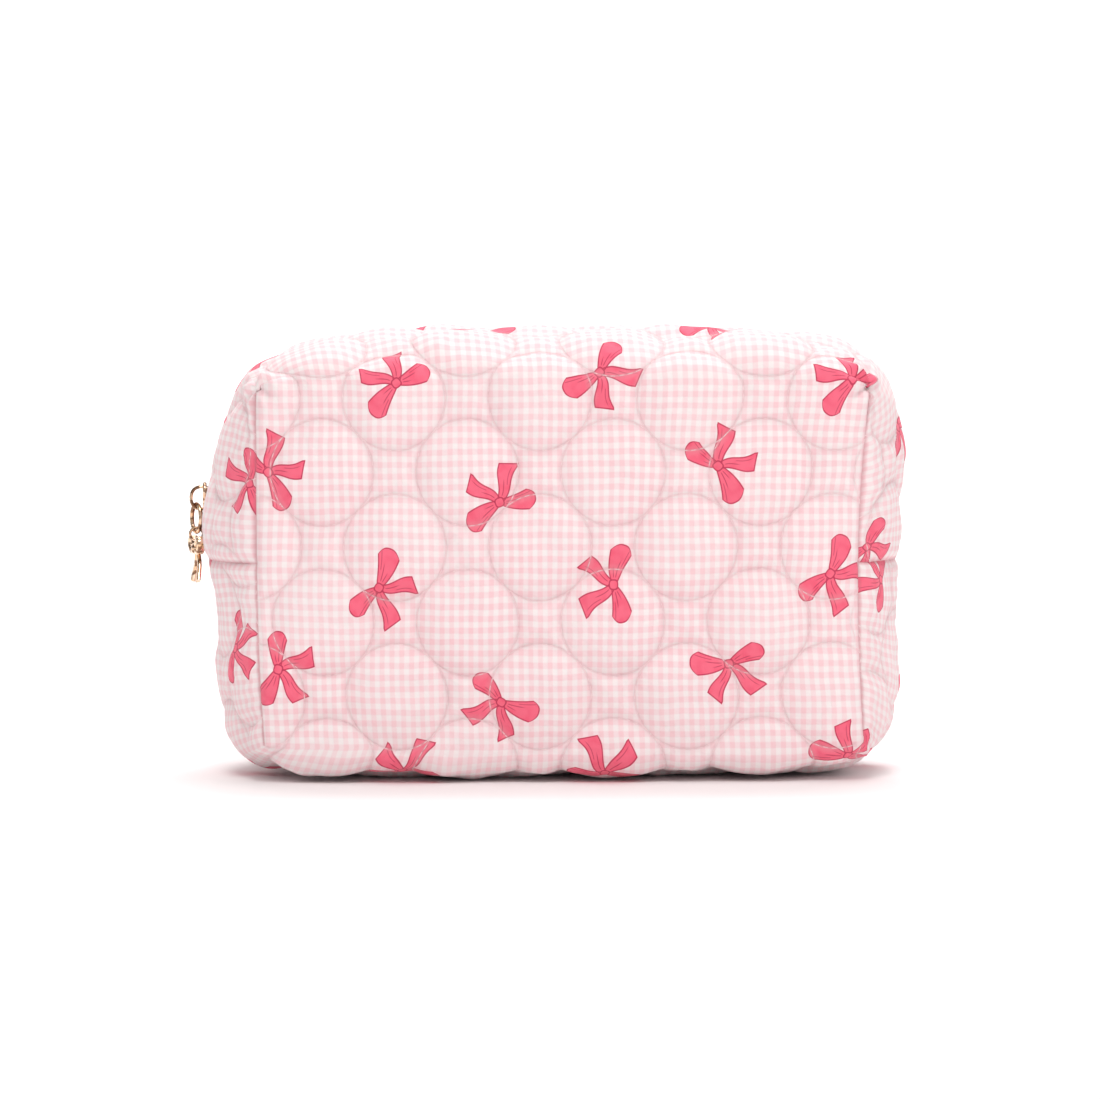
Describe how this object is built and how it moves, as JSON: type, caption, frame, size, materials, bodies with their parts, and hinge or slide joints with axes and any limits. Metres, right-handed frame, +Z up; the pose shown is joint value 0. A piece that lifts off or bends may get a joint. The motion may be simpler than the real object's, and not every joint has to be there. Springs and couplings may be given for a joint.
{
  "type": "makeup bag",
  "caption": "Boxed, quilted zip pouch in pink gingham with printed bows; the zipped mouth opens along the top and a bow charm hangs from the slider.",
  "frame": {"origin": "on the floor under the middle of the bag, ends measured at the end seams", "axes": "+Z up, +X from the zip slider's end towards the other end, the front faces -Y"},
  "size_m": [0.2547, 0.115, 0.163],
  "materials": {
    "gingham_cloth": "quilted pink and white gingham cotton with printed bows",
    "lining_cloth": "plain woven pink lining",
    "binding_tape": "woven bias tape",
    "zip_tape": "ribbed zip tape",
    "zip_coil": "nylon coil teeth",
    "rose_gold": "polished rose gold plating"
  },
  "bodies": {
    "root": {"lower_shell": "gingham_cloth", "lower_lining": "lining_cloth", "front_left_lower_binding": "binding_tape", "front_right_lower_binding": "binding_tape", "back_left_lower_binding": "binding_tape", "back_right_lower_binding": "binding_tape", "left_end_binding": "binding_tape", "right_end_binding": "binding_tape"},
    "front_upper": {"front_upper_shell": "gingham_cloth", "front_upper_lining": "lining_cloth", "front_zip_tape": "zip_tape", "front_zip_coil": "zip_coil", "front_left_upper_binding": "binding_tape", "front_right_upper_binding": "binding_tape"},
    "back_upper": {"back_upper_shell": "gingham_cloth", "back_upper_lining": "lining_cloth", "back_zip_tape": "zip_tape", "back_zip_coil": "zip_coil", "back_left_upper_binding": "binding_tape", "back_right_upper_binding": "binding_tape"},
    "slider": {"zip_slider": "rose_gold"},
    "pull": {"pull_ring": "rose_gold"},
    "charm": {"jump_ring": "rose_gold", "bow_charm": "rose_gold"}
  },
  "joints": [
    {"name": "front_mouth", "type": "hinge", "parent": "root", "child": "front_upper", "pos_m": [0, -0.0575, 0.077], "axis": [1, 0, 0], "range_deg": [0, 20]},
    {"name": "back_mouth", "type": "hinge", "parent": "root", "child": "back_upper", "pos_m": [0, 0.0575, 0.077], "axis": [-1, 0, 0], "range_deg": [0, 20]},
    {"name": "slider_slide", "type": "slide", "parent": "front_upper", "child": "slider", "axis": [0.045, 0, 0.999], "range_m": [0, 0.012]},
    {"name": "ring_swing", "type": "hinge", "parent": "slider", "child": "pull", "pos_m": [-0.12691, 0, 0.09625], "axis": [0, 1, 0], "range_deg": [0, 150]},
    {"name": "charm_swing", "type": "hinge", "parent": "pull", "child": "charm", "pos_m": [-0.12691, 0, 0.08625], "axis": [0, 1, 0], "range_deg": [0, 45]}
  ]
}
